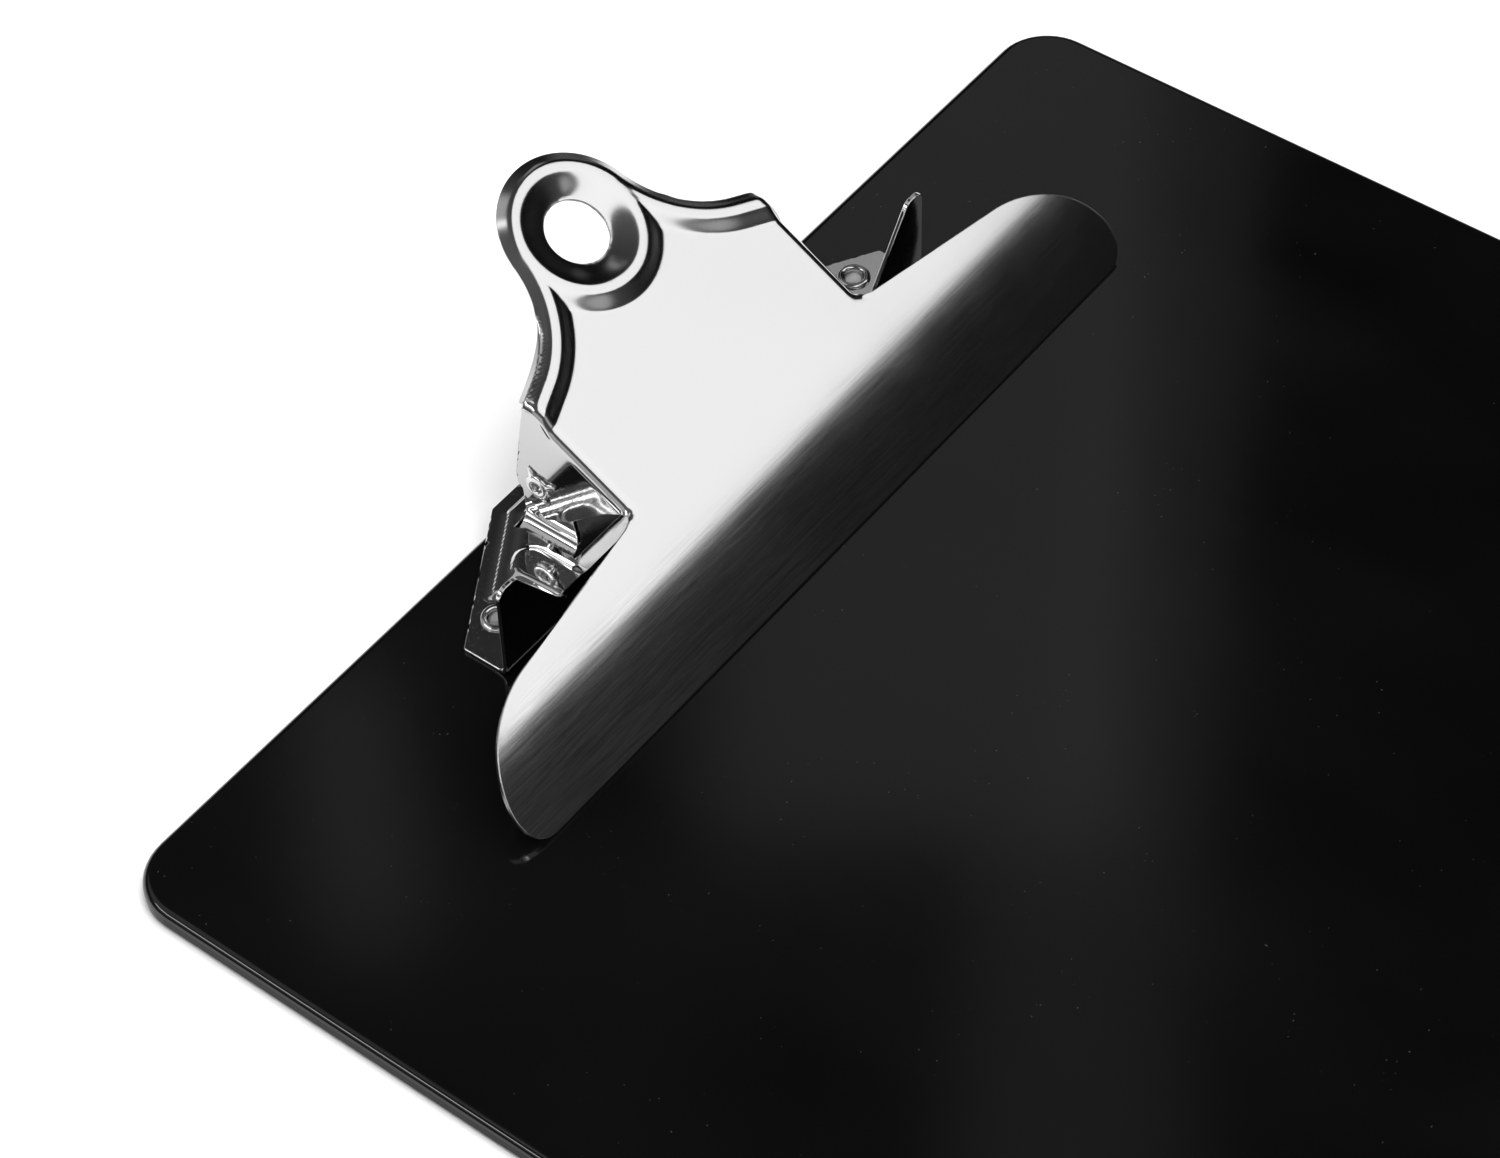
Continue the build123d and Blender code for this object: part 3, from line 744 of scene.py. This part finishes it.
def build_pin():
    """The pivot pin, its hollow ends rolled over; half its profile is (radius, x)."""
    end = pin_high[0]
    half = [
        (0.0, end - 2.5), (0.85, end - 2.5), (0.9, end - 2.2), (0.9, end - 0.35), (1.0, end - 0.08),
        (1.25, end), (1.8, end), (2.15, end - 0.15), (2.3, end - 0.4), (2.25, end - 0.6),
        (1.5, end - STAKE_SEAT), (1.5, end - 3.0),
    ]
    profile = half + [(r, -x) for r, x in reversed(half)]
    pin = revolved("pivot_pin_staked", profile, (0, PIVOT_Y, PIVOT_Z), (1, 0, 0), 48)
    return attached(pin, "board_body", "pivot_pin")


def build_stake(name, side, turn):
    """One lobe of the pin's end, spread over the ear's face by the staking punch."""
    seat = pin_high[0] - STAKE_SEAT
    points = []
    for k in range(STAKE_ROWS):
        share = k / (STAKE_ROWS - 1)
        reach = STAKE_START + STAKE_LENGTH * share
        width = STAKE_HALF_WIDTH * math.sqrt(max(1 - share ** 3, 0.02))
        crown = math.sin(math.pi * min(share + 0.25, 1) * 0.9)
        height = STAKE_BASE_HEIGHT + STAKE_CROWN_HEIGHT * crown
        for offset, lift in STAKE_SECTION:
            across = offset * width
            y = reach * math.cos(turn) - across * math.sin(turn)
            z = reach * math.sin(turn) + across * math.cos(turn)
            points.append((side * (seat + lift * height), PIVOT_Y + y, PIVOT_Z + z))
    count = len(STAKE_SECTION)
    faces = []
    for here in range(0, (STAKE_ROWS - 1) * count, count):
        there = here + count
        for j in range(count):
            after = (j + 1) % count
            faces.append((here + j, here + after, there + after, there + j))
    faces.append(tuple(reversed(range(count))))
    faces.append(tuple(range((STAKE_ROWS - 1) * count, STAKE_ROWS * count)))
    if side > 0:
        faces = [tuple(reversed(face)) for face in faces]
    return attached(mesh_object(name, points, faces), "board_body")


def build_stakes():
    """Three lobes on each end of the pin."""
    stakes = []
    for where, side in (("left", -1), ("right", 1)):
        for k, turn in enumerate(STAKE_TURNS):
            stakes.append(build_stake(f"stake_{where}_{k}", side, math.radians(turn)))
    return stakes


def build_spring():
    """Close-wound torsion spring: a leg on the base plate, the coil, and a leg under the lever."""
    start = math.radians(-90 - SPRING_BASE_LEG_DROP)
    end_angle = math.radians(90 + SPRING_LEVER_LEG_RISE)
    turned = (start - end_angle) % TAU + TAU * COIL_TURNS
    length = COIL_PITCH * turned / TAU
    coil = []
    for share in np.linspace(0, 1, SPRING_COIL_POINTS):
        angle = start - turned * share
        y = PIVOT_Y + COIL_RADIUS * math.cos(angle)
        z = PIVOT_Z + COIL_RADIUS * math.sin(angle)
        coil.append(np.array([length * (share - 0.5), y, z]))
    first = (coil[0] - coil[1]) / np.linalg.norm(coil[0] - coil[1])
    last = (coil[-1] - coil[-2]) / np.linalg.norm(coil[-1] - coil[-2])
    base_leg = np.linspace(SPRING_BASE_LEG, SPRING_LEG_START, SPRING_LEG_POINTS)
    lever_leg = np.linspace(SPRING_LEG_START, SPRING_LEVER_LEG, SPRING_LEG_POINTS)
    path = [coil[0] + first * reach for reach in base_leg]
    path += coil
    path += [coil[-1] + last * reach for reach in lever_leg]
    spring = tube("wound_spring", path, WIRE_RADIUS, 16)
    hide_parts("torsion_spring")
    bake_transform(spring)
    return spring


# ---------------------------------------------------------------- materials
# A ramp that spreads the middle of a noise from 0 to 1
SPREAD = [(0.3, 0.0), (0.7, 1.0)]

# The lever's grey and roughness, and what its parts add to them; the darker greys of the flanges and the skirts
# are painted shade
LEVER_GREY = 0.64
JAW_LINE_CONTRAST = 0.36
FLANGE_PAINTED_SHADE = -0.17
SKIRT_PAINTED_SHADE = -0.50
LEVER_ROUGHNESS = 0.145
FLANGE_ROUGHNESS = -0.09
STREAK_ROUGHNESS = 0.012
SMUDGE_ROUGHNESS = 0.03
JAW_BRUSHING = 0.35


def node(tree, kind, **inputs):
    """Adds a shader node and sets its inputs: a socket is linked, anything else is a value."""
    made = tree.nodes.new(kind)
    for name, value in inputs.items():
        socket = made.inputs[int(name[1:]) if name[0] == "_" else name.replace("_", " ")]
        if isinstance(value, bpy.types.NodeSocket):
            tree.links.new(value, socket)
        else:
            socket.default_value = value
    return made


def math_node(tree, operation, *values):
    """Result of an arithmetic node."""
    made = node(tree, "ShaderNodeMath", **{f"_{k}": value for k, value in enumerate(values)})
    made.operation = operation
    return made.outputs[0]


def ramp(tree, factor, stops):
    """A grey ramp from (position, grey) stops."""
    made = node(tree, "ShaderNodeValToRGB", Fac=factor)
    elements = made.color_ramp.elements
    while len(elements) < len(stops):
        elements.new(0.5)
    for element, (position, shade) in zip(elements, stops):
        element.position = position
        element.color = (shade, shade, shade, 1)
    return made.outputs[0]


def stretched_noise(tree, scale, detail=3.0, roughness=0.5):
    """Noise over the object's own coordinates, in features per metre along x, y and z."""
    place = node(tree, "ShaderNodeTexCoord").outputs["Object"]
    mapping = node(tree, "ShaderNodeMapping", Vector=place, Scale=scale)
    made = node(tree, "ShaderNodeTexNoise", Vector=mapping.outputs[0], Scale=1.0)
    made.inputs["Detail"].default_value = detail
    made.inputs["Roughness"].default_value = roughness
    return made.outputs["Fac"]


def new_material(name):
    """A material, its node tree and its surface node, the last two still bare."""
    material = bpy.data.materials.new(name)
    material.use_nodes = True
    tree = material.node_tree
    tree.nodes.clear()
    surface = tree.nodes.new("ShaderNodeBsdfPrincipled")
    output = tree.nodes.new("ShaderNodeOutputMaterial")
    tree.links.new(surface.outputs[0], output.inputs[0])
    return material, tree, surface


def bump(tree, surface, height, strength, distance):
    """Raises the surface by a height map, distance in metres."""
    made = node(tree, "ShaderNodeBump", Height=height, Strength=strength, Distance=distance)
    tree.links.new(made.outputs[0], surface.inputs["Normal"])


def object_axes(tree):
    """The object's own x, y and z, in metres."""
    place = node(tree, "ShaderNodeTexCoord").outputs["Object"]
    return node(tree, "ShaderNodeSeparateXYZ", Vector=place).outputs


def dot(tree, direction, axis):
    """How far a direction points along a fixed axis."""
    made = node(tree, "ShaderNodeVectorMath", _0=direction, _1=tuple(axis))
    made.operation = "DOT_PRODUCT"
    return made.outputs["Value"]


def product(tree, first, *others):
    """All the factors multiplied together."""
    for other in others:
        first = math_node(tree, "MULTIPLY", first, other)
    return first


def between(tree, value, low, high):
    """0 where value is below low, 1 above high; low may be the larger, which turns it round."""
    made = node(tree, "ShaderNodeMapRange", Value=value)
    made.interpolation_type = "SMOOTHSTEP"
    made.inputs["From Min"].default_value = low
    made.inputs["From Max"].default_value = high
    return made.outputs[0]


def steel_masks(tree):
    """Where the lever's jaw is, its side flanges, and the skirts that hang from its flares, the last two for
    painted shade.
    """
    x, y, _ = object_axes(tree)
    shoulder = SHOULDER[1] * MM
    on_jaw = between(tree, y, shoulder - 0.005, shoulder - 0.011)
    above_jaw = between(tree, y, shoulder + 0.001, shoulder + 0.002)
    sideways = between(tree, math_node(tree, "ABSOLUTE", x), 0.0270, 0.0281)
    on_flange = product(tree, above_jaw, sideways)
    normal = node(tree, "ShaderNodeTexCoord").outputs["Normal"]
    level = math_node(tree, "ABSOLUTE", dot(tree, normal, OUTWARD))
    hanging = between(tree, level, 0.55, 0.35)
    under_flare = math_node(tree, "SUBTRACT", 1.0, sideways)
    beyond_flange = between(tree, y, shoulder + 0.0185, shoulder + 0.0200)
    # Painted shade: the skirt's faces that hang down under the flares get a darker grey
    skirt_painted_shade = product(tree, hanging, under_flare, beyond_flange)
    return on_jaw, on_flange, skirt_painted_shade


def brushed_steel():
    """Plated steel: fine brushing across the jaw, a smooth satin neck and mirror-bright flanges, with painted
    shade darkening the flanges and the skirts.
    """
    material, tree, surface = new_material("brushed_steel")
    on_jaw, on_flange, skirt_painted_shade = steel_masks(tree)
    hairlines = stretched_noise(tree, (110, 3000, 3000), 3, 0.6)
    streaks = stretched_noise(tree, (60, 2600, 2600), 2)
    smudges = stretched_noise(tree, (60, 60, 60), 3)
    surface.inputs["Metallic"].default_value = 1
    # Colour: fine lines on the jaw only, and painted shade that darkens the flanges and the skirts
    lined = math_node(tree, "SUBTRACT", ramp(tree, hairlines, SPREAD), 0.5)
    contrast = product(tree, on_jaw, JAW_LINE_CONTRAST)
    shade = math_node(tree, "MULTIPLY_ADD", lined, contrast, LEVER_GREY)
    shade = math_node(tree, "MULTIPLY_ADD", on_flange, FLANGE_PAINTED_SHADE, shade)
    shade = math_node(tree, "MULTIPLY_ADD", skirt_painted_shade, SKIRT_PAINTED_SHADE, shade)
    tree.links.new(shade, surface.inputs["Base Color"])
    # Roughness: polished flanges, streaks and smudges everywhere
    streaked = ramp(tree, streaks, SPREAD)
    smudged = ramp(tree, smudges, [(0.4, 0.0), (0.8, 1.0)])
    rough = math_node(tree, "MULTIPLY_ADD", on_flange, FLANGE_ROUGHNESS, LEVER_ROUGHNESS)
    rough = math_node(tree, "MULTIPLY_ADD", streaked, STREAK_ROUGHNESS, rough)
    rough = math_node(tree, "MULTIPLY_ADD", smudged, SMUDGE_ROUGHNESS, rough)
    tree.links.new(rough, surface.inputs["Roughness"])
    # The brushing runs along x, so highlights on the jaw spread across it
    tree.links.new(product(tree, on_jaw, JAW_BRUSHING), surface.inputs["Anisotropic"])
    tangent = node(tree, "ShaderNodeCombineXYZ", X=1.0, Y=0.0, Z=0.0).outputs[0]
    tree.links.new(tangent, surface.inputs["Tangent"])
    lines = product(tree, hairlines, math_node(tree, "MULTIPLY_ADD", on_jaw, 0.8, 0.05))
    bump(tree, surface, lines, 0.02, 0.00002)
    return material


def bright_plate():
    """Bright nickel plate with a faint press grain and dust."""
    material, tree, surface = new_material("bright_plate")
    waves = stretched_noise(tree, (140, 140, 140), 1)
    dust = stretched_noise(tree, (2600, 2600, 2600), 1)
    surface.inputs["Metallic"].default_value = 1
    shade = ramp(tree, waves, [(0.3, 0.68), (0.7, 0.74)])
    tree.links.new(shade, surface.inputs["Base Color"])
    rough = ramp(tree, dust, [(0.62, 0.045), (0.8, 0.25)])
    tree.links.new(rough, surface.inputs["Roughness"])
    bump(tree, surface, waves, 0.10, 0.0002)
    return material


def plain_metal(name, low, high, roughness):
    """Drawn or turned metal: slightly mottled, lightly scratched."""
    material, tree, surface = new_material(name)
    mottle = stretched_noise(tree, (600, 600, 600), 3)
    scratches = stretched_noise(tree, (300, 3000, 3000), 3)
    surface.inputs["Metallic"].default_value = 1
    tree.links.new(ramp(tree, mottle, [(0.3, low), (0.7, high)]), surface.inputs["Base Color"])
    rough = ramp(tree, mottle, [(0.3, roughness), (0.7, roughness * 1.6)])
    tree.links.new(rough, surface.inputs["Roughness"])
    bump(tree, surface, scratches, 0.15, 0.00003)
    return material


def black_plastic():
    """Glossy moulded plastic with faint orange peel, hazy patches, a little dust and duller edges."""
    material, tree, surface = new_material("black_gloss")
    peel = stretched_noise(tree, (350, 350, 350), 2)
    haze = stretched_noise(tree, (30, 18, 30), 3)
    specks = stretched_noise(tree, (2300, 2300, 2300), 0)
    scatter = stretched_noise(tree, (90, 90, 90), 1)
    dust = ramp(tree, specks, [(0.855, 0.0), (0.875, 0.03)])
    dusty = ramp(tree, scatter, [(0.48, 0.0), (0.62, 1.0)])
    base = ramp(tree, haze, [(0.3, 0.0012), (0.7, 0.0022)])
    both = math_node(tree, "MULTIPLY_ADD", dust, dusty, base)
    tree.links.new(both, surface.inputs["Base Color"])
    rough = ramp(tree, haze, [(0.3, 0.065), (0.7, 0.10)])
    tree.links.new(rough, surface.inputs["Roughness"])
    surface.inputs["IOR"].default_value = 1.5
    facing = node(tree, "ShaderNodeNewGeometry").outputs["Normal"]
    upward = node(tree, "ShaderNodeSeparateXYZ", Vector=facing).outputs["Z"]
    polished = between(tree, math_node(tree, "ABSOLUTE", upward), 0.10, 0.35)
    gloss = math_node(tree, "MULTIPLY_ADD", polished, 0.42, 0.08)
    tree.links.new(gloss, surface.inputs["Specular IOR Level"])
    bump(tree, surface, peel, 0.02, 0.0001)
    return material


def pale_floor():
    """Matt off-white paper."""
    material, tree, surface = new_material("studio_floor")
    tone = stretched_noise(tree, (3, 3, 3), 2)
    tree.links.new(ramp(tree, tone, [(0.3, 0.90), (0.7, 0.93)]), surface.inputs["Base Color"])
    surface.inputs["Roughness"].default_value = 0.9
    surface.inputs["Specular IOR Level"].default_value = 0.1
    return material


pieces = {
    "brushed_steel": [build_lever()],
    "bright_plate": [build_base()],
    "eyelet_nickel": [build_eyelet("eyelet_left", -EYELET_X), build_eyelet("eyelet_right", EYELET_X)],
    "pin_steel": [build_pin(), *build_stakes()],
    "spring_wire": [build_spring()],
    "black_gloss": [frame["nodes"]["board"]],
}
finishes = {
    "brushed_steel": brushed_steel(),
    "bright_plate": bright_plate(),
    "eyelet_nickel": plain_metal("eyelet_nickel", 0.62, 0.74, 0.10),
    "pin_steel": plain_metal("pin_steel", 0.55, 0.68, 0.12),
    "spring_wire": plain_metal("spring_wire", 0.3, 0.42, 0.24),
    "black_gloss": black_plastic(),
}
for finish, things in pieces.items():
    for thing in things:
        thing.data.materials.clear()
        thing.data.materials.append(finishes[finish])

# ---------------------------------------------------------------- studio
CAMERA = Vector((-0.32195, -0.12552, 0.45197))
VIEW_AZIMUTH = math.radians(51.2)
VIEW_DROP = math.radians(48.8)
VIEW_ROLL = math.radians(-1.98)
LENS = 95.365
SENSOR_WIDTH = 36
FLOOR_HALF_WIDTH = 3000.0
FLOOR_GAP = 0.05
SUN_DIRECTION = Vector((-0.2, 0.15, -0.95))
SUN_STRENGTH = 3.3
SUN_SPREAD = math.radians(75)
SOFT_BOXES = [
    # name, centre, turn about the vertical, (width, depth), radiance; in metres and degrees
    ("overhead_box", (0.22, -0.57, 1.0), 19, (1.66, 1.16), 1.33),
    ("overhead_rim", (0.30, -1.09, 0.99), 19, (1.1, 0.13), 0.3),
]
ROOM_PANELS = [
    # direction of the middle, half size over distance, edge softness, radiance
    ((0.03, -0.93, 0.36), (0.20, 0.13), 0.05, 0.42),
    ((-0.15, 0.62, 0.77), (0.30, 0.30), 0.08, 0.45),
    ((-0.20, 0.33, 0.92), (0.05, 0.07), 0.02, 1.6),
    ((-0.95, -0.20, 0.25), (0.50, 0.25), 0.10, 0.55),
    ((-0.75, 0.45, 0.48), (0.30, 0.15), 0.06, 0.60),
    ((-0.68, 0.43, 0.60), (0.40, 0.055), 0.020, 8.5),
    ((0.10, 1.00, 0.05), (0.70, 0.10), 0.04, 0.90),
    ((0.613, 0.433, 0.673), (0.054, 0.19), 0.016, 0.33),
    ((0.652, 0.378, 0.673), (0.020, 0.19), 0.006, 0.16),
    ((0.88, 0.38, 0.28), (0.16, 0.16), 0.08, 0.10),
    ((0.478, 0.288, 0.844), (0.028, 0.07), 0.014, 0.16),
    ((0.419, 0.466, 0.787), (0.014, 0.036), 0.012, 0.30),
]
# Radiance of the room round the panels, from west to east, and what lights matt surfaces instead
ROOM_GLOW = [(0.0, 0.12), (0.5, 0.07), (0.80, 0.036), (0.87, 0.010), (0.92, 0.002)]
EVEN_GLOW = 0.30


def build_camera():
    """Looks down on the clip from the board's left."""
    data = bpy.data.cameras.new("camera")
    data.lens = LENS
    data.sensor_width = SENSOR_WIDTH
    data.clip_start = 0.01
    camera = bpy.data.objects.new("camera", data)
    forward = Vector((
        math.sin(VIEW_AZIMUTH) * math.cos(VIEW_DROP),
        math.cos(VIEW_AZIMUTH) * math.cos(VIEW_DROP),
        -math.sin(VIEW_DROP),
    ))
    camera.location = CAMERA
    camera.rotation_mode = "QUATERNION"
    level = forward.to_track_quat("-Z", "Y")
    camera.rotation_quaternion = Quaternion(forward, -VIEW_ROLL) @ level
    bpy.context.scene.collection.objects.link(camera)
    bpy.context.scene.camera = camera


def area_light(name, centre, turn, size, radiance):
    """A soft box that faces down, turned about the vertical; size is (width, depth) in metres."""
    data = bpy.data.lights.new(name, "AREA")
    data.shape = "RECTANGLE"
    data.size, data.size_y = size
    data.energy = radiance * size[0] * size[1] * math.pi
    light = bpy.data.objects.new(name, data)
    light.location = centre
    light.rotation_euler.z = math.radians(turn)
    bpy.context.scene.collection.objects.link(light)


def build_floor():
    half = FLOOR_HALF_WIDTH
    corners = [(-half, -half, 0), (half, -half, 0), (half, half, 0), (-half, half, 0)]
    floor = mesh_object("floor", corners, [(0, 1, 2, 3)], False)
    floor.location.z = (board_low[2] - FLOOR_GAP) * MM
    floor.data.materials.append(pale_floor())


def panel(tree, direction, towards, size, soft, radiance):
    """Light that a soft-edged panel adds, seen in the given direction.

    towards is the direction of its middle, size its half width and half height over its
    distance, soft the width of its edges; level edges, like a window's.
    """
    ahead = Vector(towards).normalized()
    level = ahead.cross(Vector((0, 0, 1))).normalized()
    upright = level.cross(ahead)
    facing = dot(tree, direction, ahead)
    depth = math_node(tree, "MAXIMUM", facing, 0.001)
    mask = math_node(tree, "GREATER_THAN", facing, 0.05)
    for axis, half in ((level, size[0]), (upright, size[1])):
        offset = math_node(tree, "DIVIDE", dot(tree, direction, axis), depth)
        edge = between(tree, math_node(tree, "ABSOLUTE", offset), half + soft, half - soft)
        mask = product(tree, mask, edge)
    return product(tree, mask, radiance)


def build_world():
    """White for the camera, an even glow for soft light, and a dark room with panels to reflect."""
    world = bpy.data.worlds.new("studio")
    bpy.context.scene.world = world
    world.use_nodes = True
    tree = world.node_tree
    tree.nodes.clear()
    ray = node(tree, "ShaderNodeLightPath").outputs
    direction = node(tree, "ShaderNodeTexCoord").outputs["Generated"]
    eastward = node(tree, "ShaderNodeSeparateXYZ", Vector=direction).outputs["X"]
    share = between(tree, eastward, -1.0, 1.0)
    room = ramp(tree, share, ROOM_GLOW)
    for towards, size, soft, radiance in ROOM_PANELS:
        room = math_node(tree, "ADD", room, panel(tree, direction, towards, size, soft, radiance))
    even = product(tree, ray["Is Diffuse Ray"], EVEN_GLOW)
    room = product(tree, room, math_node(tree, "SUBTRACT", 1.0, ray["Is Diffuse Ray"]))
    light = math_node(tree, "MAXIMUM", math_node(tree, "ADD", room, even), ray["Is Camera Ray"])
    background = node(tree, "ShaderNodeBackground", Color=light)
    output = tree.nodes.new("ShaderNodeOutputWorld")
    tree.links.new(background.outputs[0], output.inputs[0])


def build_sun():
    """A very soft sun that lifts the shadows and isn't mirrored in the metal."""
    data = bpy.data.lights.new("fill_sun", "SUN")
    data.energy = SUN_STRENGTH
    data.angle = SUN_SPREAD
    sun = bpy.data.objects.new("fill_sun", data)
    sun.rotation_mode = "QUATERNION"
    sun.rotation_quaternion = SUN_DIRECTION.to_track_quat("-Z", "Y")
    sun.visible_glossy = False
    bpy.context.scene.collection.objects.link(sun)


build_camera()
build_floor()
build_world()
for soft_box in SOFT_BOXES:
    area_light(*soft_box)
build_sun()
bpy.context.scene.view_settings.view_transform = "Standard"
